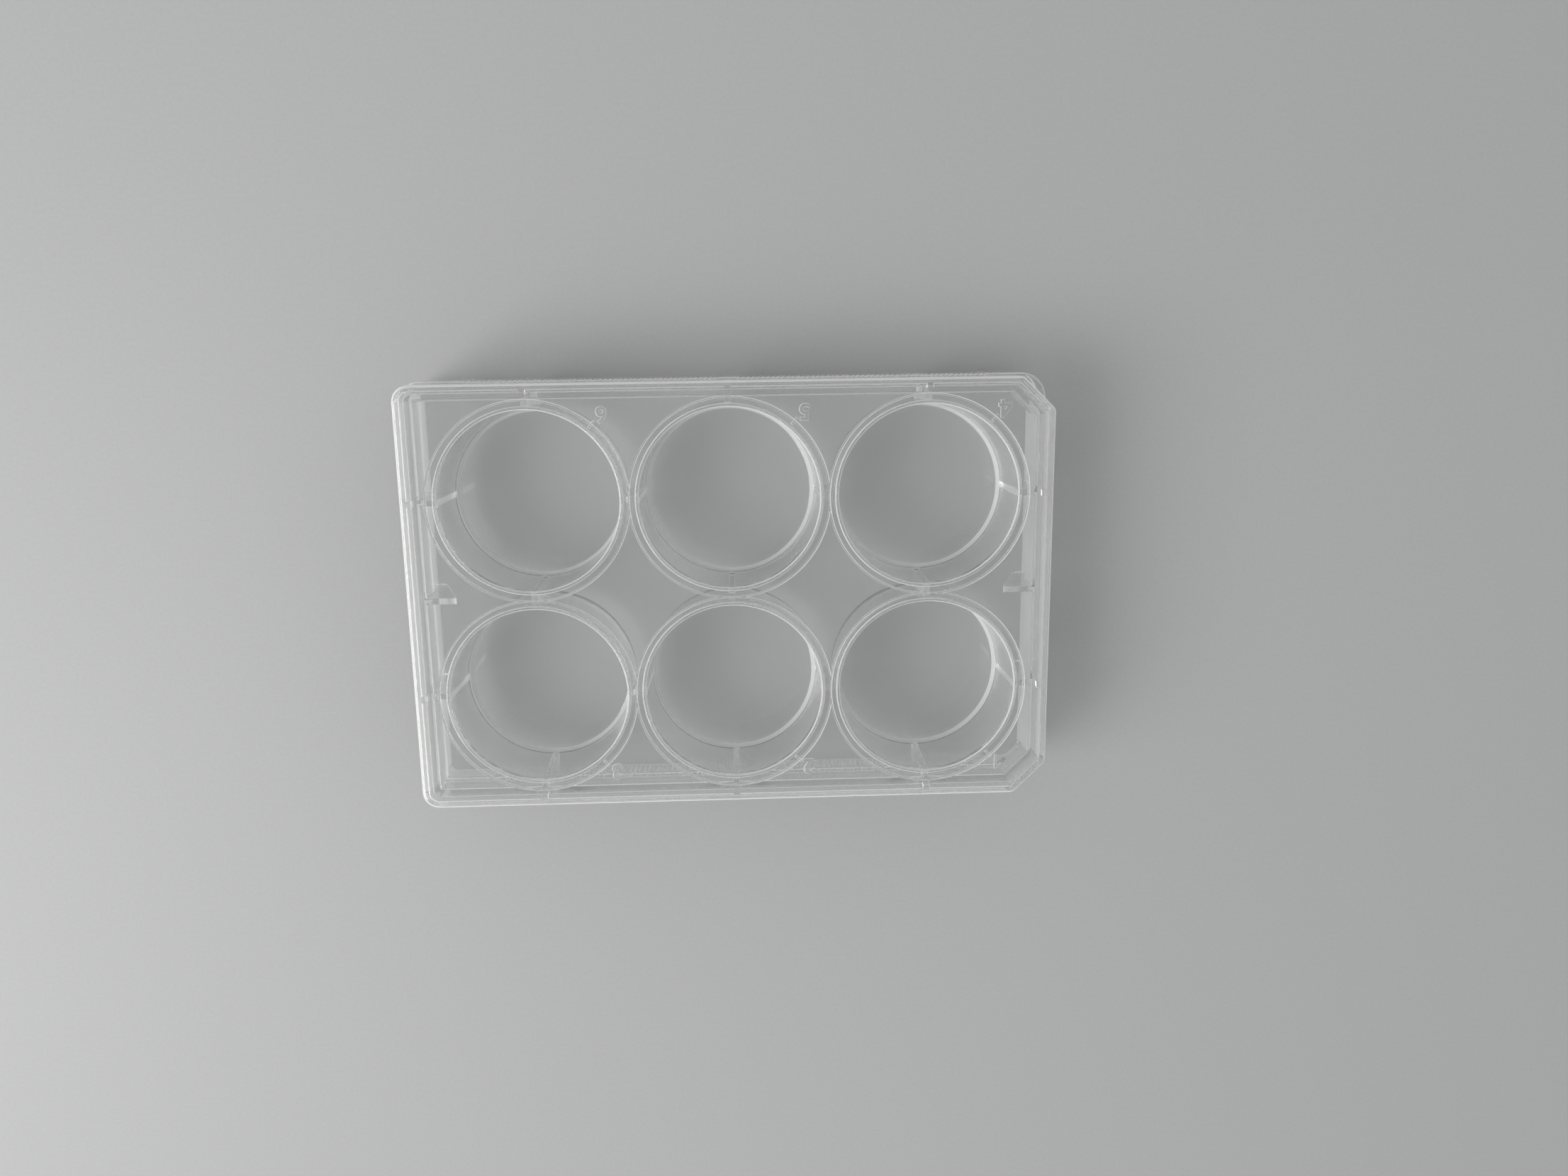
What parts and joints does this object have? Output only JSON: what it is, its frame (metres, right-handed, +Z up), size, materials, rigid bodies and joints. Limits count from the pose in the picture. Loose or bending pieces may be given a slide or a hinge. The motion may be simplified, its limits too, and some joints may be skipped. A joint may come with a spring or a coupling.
{
  "type": "well plate",
  "caption": "Clear moulded culture plate with round flat-bottomed wells under a loose lid with two cut-off corners, on a stepped frame that stacks and rests flat",
  "frame": {"origin": "on the surface the plate stands on, under the middle of its footprint", "axes": "X along the length, from the end with the two cut-off corners at -X to the square end at +X; Y across the width, from the lower row of wells to the upper row; Z up"},
  "size_m": [0.1278, 0.0854, 0.022],
  "materials": {
    "clear_tray": "clear colourless polystyrene, polished, with lightly ribbed grips",
    "clear_lid": "clear colourless polystyrene, polished"
  },
  "bodies": {
    "root": {"plate_base": "clear_tray", "lid": "clear_lid"}
  },
  "joints": []
}
